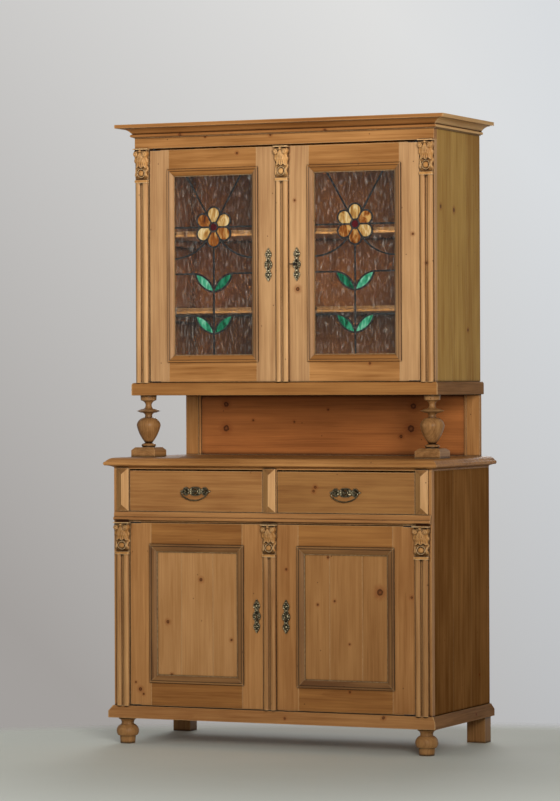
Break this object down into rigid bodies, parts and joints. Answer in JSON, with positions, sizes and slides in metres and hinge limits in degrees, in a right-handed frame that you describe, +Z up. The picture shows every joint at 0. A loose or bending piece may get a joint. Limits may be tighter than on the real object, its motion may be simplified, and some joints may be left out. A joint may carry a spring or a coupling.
{
  "type": "kitchen cupboard",
  "caption": "Tall pine kitchen cupboard: base with drawers over panelled doors, open niche with turned columns, and an upper cupboard with leaded glass doors under a cornice.",
  "frame": {"origin": "on the floor, in the middle of the rectangle that the cupboard covers", "axes": "+X to the right along the front as seen from in front, +Y to the back, +Z up; the front faces -Y"},
  "size_m": [1.214, 0.554, 2.1],
  "materials": {
    "waxed_pine": "stripped and waxed, satin, knotty",
    "inner_pine": "bare sawn boards, matt",
    "red_pine": "waxed, reddish, satin",
    "turned_pine": "turned and waxed, satin",
    "bronzed_brass": "cast, darkened, rubbed",
    "old_iron": "forged, oiled, worn",
    "lead": "drawn lead, dull grey",
    "art_glass": "rippled, in tints"
  },
  "bodies": {
    "cupboard": {"base_sides": "waxed_pine", "base_back_boards": "inner_pine", "base_front_frame": "waxed_pine", "base_floor": "inner_pine", "runners_and_battens": "inner_pine", "shelves": "inner_pine", "worktop": "waxed_pine", "base_mouldings": "waxed_pine", "lozenge_blocks": "waxed_pine", "feet": "turned_pine", "columns": "turned_pine", "niche_back": "red_pine", "upper_base": "waxed_pine", "upper_sides": "waxed_pine", "upper_back_boards": "inner_pine", "upper_front_frame": "waxed_pine", "upper_top_board": "inner_pine", "cornice": "waxed_pine", "corner_pilasters": "waxed_pine", "corner_corbels": "waxed_pine", "carcase_pivot_plates": "old_iron"},
    "left_drawer": {"left_drawer_front": "waxed_pine", "left_drawer_box": "inner_pine", "left_pull_plate": "bronzed_brass"},
    "left_bail": {"left_bail": "bronzed_brass"},
    "right_drawer": {"right_drawer_front": "waxed_pine", "right_drawer_box": "inner_pine", "right_pull_plate": "bronzed_brass"},
    "right_bail": {"right_bail": "bronzed_brass"},
    "upper_left_door": {"upper_left_door_frame": "waxed_pine", "upper_left_glazing_beads": "waxed_pine", "upper_left_glass": "art_glass", "upper_left_lead_cames": "lead", "upper_left_escutcheon": "bronzed_brass", "upper_left_pivot_plates": "old_iron"},
    "upper_right_door": {"upper_right_door_frame": "waxed_pine", "upper_right_glazing_beads": "waxed_pine", "upper_right_glass": "art_glass", "upper_right_lead_cames": "lead", "upper_right_escutcheon": "bronzed_brass", "upper_right_pivot_plates": "old_iron", "upper_right_centre_pilaster": "waxed_pine", "upper_right_lock_case": "old_iron"},
    "upper_left_turn_button": {"upper_left_turn_button": "waxed_pine"},
    "upper_right_lock_bolt": {"upper_right_lock_bolt": "old_iron"},
    "lower_left_door": {"lower_left_door_frame": "waxed_pine", "lower_left_panel_moulding": "waxed_pine", "lower_left_panel": "waxed_pine", "lower_left_escutcheon": "bronzed_brass", "lower_left_pivot_plates": "old_iron"},
    "lower_right_door": {"lower_right_door_frame": "waxed_pine", "lower_right_panel_moulding": "waxed_pine", "lower_right_panel": "waxed_pine", "lower_right_escutcheon": "bronzed_brass", "lower_right_pivot_plates": "old_iron", "lower_right_centre_pilaster": "waxed_pine", "lower_right_lock_case": "old_iron"},
    "lower_left_turn_button": {"lower_left_turn_button": "waxed_pine"},
    "lower_right_lock_bolt": {"lower_right_lock_bolt": "old_iron"},
    "upper_right_key": {"upper_right_key": "old_iron"}
  },
  "joints": [
    {"name": "left_drawer_slide", "type": "slide", "parent": "cupboard", "child": "left_drawer", "axis": [0, -1, 0], "range_m": [0, 0.34]},
    {"name": "left_bail_hinge", "type": "hinge", "parent": "left_drawer", "child": "left_bail", "pos_m": [-0.2735, -0.258, 0.8565], "axis": [-1, 0, 0], "range_deg": [0, 85]},
    {"name": "right_drawer_slide", "type": "slide", "parent": "cupboard", "child": "right_drawer", "axis": [0, -1, 0], "range_m": [0, 0.34]},
    {"name": "right_bail_hinge", "type": "hinge", "parent": "right_drawer", "child": "right_bail", "pos_m": [0.2735, -0.258, 0.8565], "axis": [-1, 0, 0], "range_deg": [0, 85]},
    {"name": "upper_left_door_hinge", "type": "hinge", "parent": "cupboard", "child": "upper_left_door", "pos_m": [-0.481, -0.131, 1.2235], "axis": [0, 0, -1], "range_deg": [0, 95]},
    {"name": "upper_right_door_hinge", "type": "hinge", "parent": "cupboard", "child": "upper_right_door", "pos_m": [0.481, -0.131, 1.2235], "axis": [0, 0, 1], "range_deg": [0, 95]},
    {"name": "upper_left_turn_button_hinge", "type": "hinge", "parent": "upper_left_door", "child": "upper_left_turn_button", "pos_m": [-0.25975, -0.115, 1.993], "axis": [0, 1, 0], "range_deg": [0, 90]},
    {"name": "lower_left_door_hinge", "type": "hinge", "parent": "cupboard", "child": "lower_left_door", "pos_m": [-0.5045, -0.242, 0.1325], "axis": [0, 0, -1], "range_deg": [0, 95]},
    {"name": "lower_right_door_hinge", "type": "hinge", "parent": "cupboard", "child": "lower_right_door", "pos_m": [0.5045, -0.242, 0.1325], "axis": [0, 0, 1], "range_deg": [0, 95]},
    {"name": "lower_left_turn_button_hinge", "type": "hinge", "parent": "lower_left_door", "child": "lower_left_turn_button", "pos_m": [-0.2715, -0.226, 0.729], "axis": [0, 1, 0], "range_deg": [0, 90]},
    {"name": "upper_right_key_turn", "type": "hinge", "parent": "upper_right_door", "child": "upper_right_key", "pos_m": [0.052, -0.137, 1.61596], "axis": [0, -1, 0], "range_deg": [0, 180]},
    {"name": "upper_right_bolt_slide", "type": "slide", "parent": "upper_right_door", "child": "upper_right_lock_bolt", "axis": [-1, 0, 0], "range_m": [0, 0.013]},
    {"name": "lower_right_bolt_slide", "type": "slide", "parent": "lower_right_door", "child": "lower_right_lock_bolt", "axis": [-1, 0, 0], "range_m": [0, 0.013]}
  ],
  "couplings": [
    {"joint": "upper_right_key_turn", "follows": "upper_right_bolt_slide", "rad_per_m": 241.66}
  ]
}
